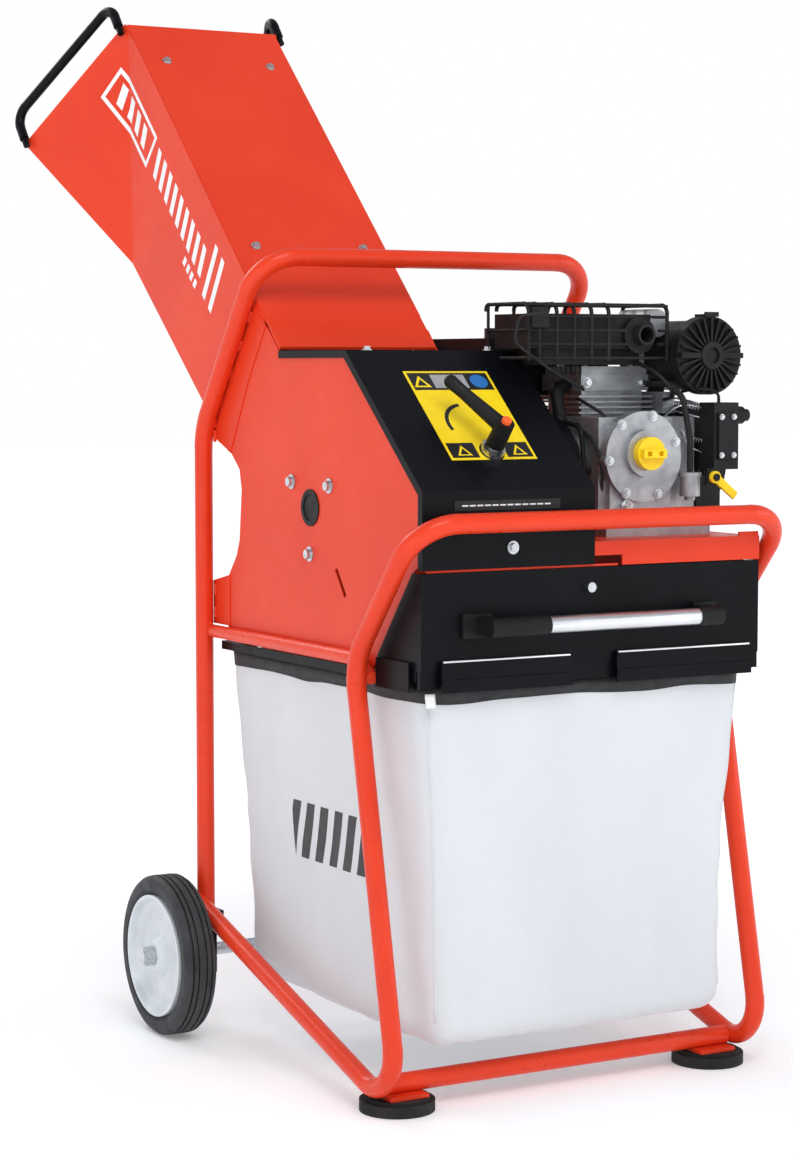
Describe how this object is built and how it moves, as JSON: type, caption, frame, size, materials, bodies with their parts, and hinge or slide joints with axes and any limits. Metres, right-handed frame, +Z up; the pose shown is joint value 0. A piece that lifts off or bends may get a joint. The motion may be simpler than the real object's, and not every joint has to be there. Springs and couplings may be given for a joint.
{
  "type": "wood chipper",
  "caption": "Wheeled petrol wood chipper: leaning feed chute and rotor housing on a bent tube frame, engine beside it, pull-out collection bag under the hood.",
  "frame": {"origin": "centre of the bounding box on the ground, between the wheels", "axes": "+Z up, front with the pull handle towards -Y, wheels and leaning feed chute towards +Y, side plate with the bearing hole towards -X"},
  "size_m": [0.814, 1.2686, 1.638],
  "materials": {
    "frame_paint": "gloss orange-red powder coat",
    "panel_paint": "gloss orange-red powder coat on sheet",
    "black_paint": "satin black powder coat",
    "rubber": "matt black rubber",
    "bright_steel": "zinc plated steel",
    "cast_iron": "dark casting",
    "tyre_rubber": "ribbed solid tyre",
    "rim_plastic": "light grey enamel",
    "black_plastic": "moulded black plastic",
    "label": "printed label, yellow with black bands",
    "button_plastic": "orange-red plastic",
    "yellow_plastic": "yellow plastic",
    "cast_aluminium": "die-cast aluminium",
    "heat_paint": "heat-proof black",
    "handle_tube": "satin anodised tube",
    "bag_fabric": "off-white woven fabric"
  },
  "bodies": {
    "frame": {"rear_hoop": "frame_paint", "front_hoop": "frame_paint", "frame_crossbars": "frame_paint", "plastic_plugs": "black_plastic", "rubber_feet": "rubber", "bolts": "bright_steel", "axle_brackets": "black_paint", "axle": "bright_steel", "side_plate_left": "panel_paint", "side_plate_right": "panel_paint", "inner_plate": "panel_paint", "rotor_casing": "panel_paint", "rotor_bearings": "cast_iron", "feed_chute": "panel_paint", "chute_handles": "black_paint", "control_guard": "black_paint", "control_label": "label", "lever_bush": "bright_steel", "drive_belt": "rubber", "belt_cover": "black_paint", "engine_deck": "panel_paint", "crankcase": "cast_aluminium", "crankcase_cover": "cast_aluminium", "engine_cylinder": "cast_aluminium", "spark_plug": "black_plastic", "muffler": "heat_paint", "muffler_guard": "heat_paint", "air_cleaner_body": "black_plastic", "air_cleaner_cover": "black_plastic", "carburettor": "cast_aluminium", "engine_hoses": "rubber", "blower_housing": "black_plastic", "starter_cover": "black_plastic", "control_box": "black_plastic", "fuel_tank": "black_plastic"},
    "wheel_left": {"tyre_left": "tyre_rubber", "rim_left": "rim_plastic"},
    "wheel_right": {"tyre_right": "tyre_rubber", "rim_right": "rim_plastic"},
    "rotor": {"rotor_shaft": "bright_steel", "rotor_drum": "cast_iron", "rotor_knives": "bright_steel", "rotor_pulley": "cast_iron"},
    "engine_shaft": {"engine_crankshaft": "cast_iron"},
    "idler": {"belt_idler": "bright_steel"},
    "clutch_lever": {"lever_stalk": "bright_steel", "lever_grip": "black_plastic"},
    "lever_button": {"lever_button": "button_plastic"},
    "choke_lever": {"choke_lever": "yellow_plastic"},
    "throttle_knob": {"throttle_knob": "black_plastic"},
    "oil_cap": {"oil_cap": "yellow_plastic"},
    "fuel_cap": {"fuel_cap": "black_plastic"},
    "starter_grip": {"starter_grip": "black_plastic"},
    "hood_latch": {"hood_latch": "bright_steel"},
    "chute_curtain": {"chute_curtain": "rubber"},
    "bag_drawer": {"discharge_hood": "black_paint", "hood_handle_tube": "handle_tube", "handle_brackets": "black_plastic", "clip_rails": "black_paint", "collection_bag": "bag_fabric"}
  },
  "joints": [
    {"name": "wheel_left_spin", "type": "hinge", "parent": "frame", "child": "wheel_left", "pos_m": [-0.36, 0.0748, 0.125], "axis": [1, 0, 0], "continuous": true},
    {"name": "wheel_right_spin", "type": "hinge", "parent": "frame", "child": "wheel_right", "pos_m": [0.36, 0.0748, 0.125], "axis": [1, 0, 0], "continuous": true},
    {"name": "rotor_spin", "type": "hinge", "parent": "frame", "child": "rotor", "pos_m": [-0.1, -0.2552, 0.84], "axis": [1, 0, 0], "continuous": true},
    {"name": "engine_shaft_spin", "type": "hinge", "parent": "frame", "child": "engine_shaft", "pos_m": [0.021, -0.4082, 0.906], "axis": [1, 0, 0], "continuous": true},
    {"name": "idler_swing", "type": "hinge", "parent": "frame", "child": "idler", "pos_m": [0, -0.2932, 0.9575], "axis": [1, 0, 0], "range_deg": [-6, 0]},
    {"name": "clutch_lever_turn", "type": "hinge", "parent": "frame", "child": "clutch_lever", "pos_m": [-0.138, -0.5261, 0.92678], "axis": [0, -0.6646, 0.7472], "range_deg": [-60, 0]},
    {"name": "lever_button_press", "type": "slide", "parent": "clutch_lever", "child": "lever_button", "axis": [0, -0.6646, 0.7472], "range_m": [-0.003, 0], "stiffness_N_per_m": 900},
    {"name": "choke_lever_turn", "type": "hinge", "parent": "frame", "child": "choke_lever", "pos_m": [0.24, -0.5362, 0.884], "axis": [0, -1, 0], "range_deg": [0, 35]},
    {"name": "throttle_knob_turn", "type": "hinge", "parent": "frame", "child": "throttle_knob", "pos_m": [0.3, -0.5162, 0.974], "axis": [1, 0, 0], "range_deg": [-120, 0]},
    {"name": "oil_cap_turn", "type": "hinge", "parent": "frame", "child": "oil_cap", "pos_m": [0.132, -0.5302, 0.92], "axis": [0, -1, 0], "range_deg": [0, 120]},
    {"name": "fuel_cap_turn", "type": "hinge", "parent": "frame", "child": "fuel_cap", "pos_m": [0.09, -0.2002, 1.095], "axis": [0, 0, 1], "range_deg": [0, 120]},
    {"name": "starter_grip_pull", "type": "slide", "parent": "frame", "child": "starter_grip", "axis": [1, 0, 0], "range_m": [0, 0.25]},
    {"name": "bag_drawer_pull", "type": "slide", "parent": "frame", "child": "bag_drawer", "axis": [0, -1, 0], "range_m": [0, 0.45]},
    {"name": "hood_latch_pull", "type": "slide", "parent": "bag_drawer", "child": "hood_latch", "axis": [0, -1, 0], "range_m": [0, 0.004]},
    {"name": "chute_curtain_swing", "type": "hinge", "parent": "frame", "child": "chute_curtain", "pos_m": [-0.1445, 0.3158, 1.52028], "axis": [1, 0, 0], "range_deg": [-50, 0]}
  ],
  "couplings": [
    {"joint": "engine_shaft_spin", "follows": "rotor_spin", "ratio": 2},
    {"joint": "idler_swing", "follows": "clutch_lever_turn", "ratio": 0.1}
  ]
}
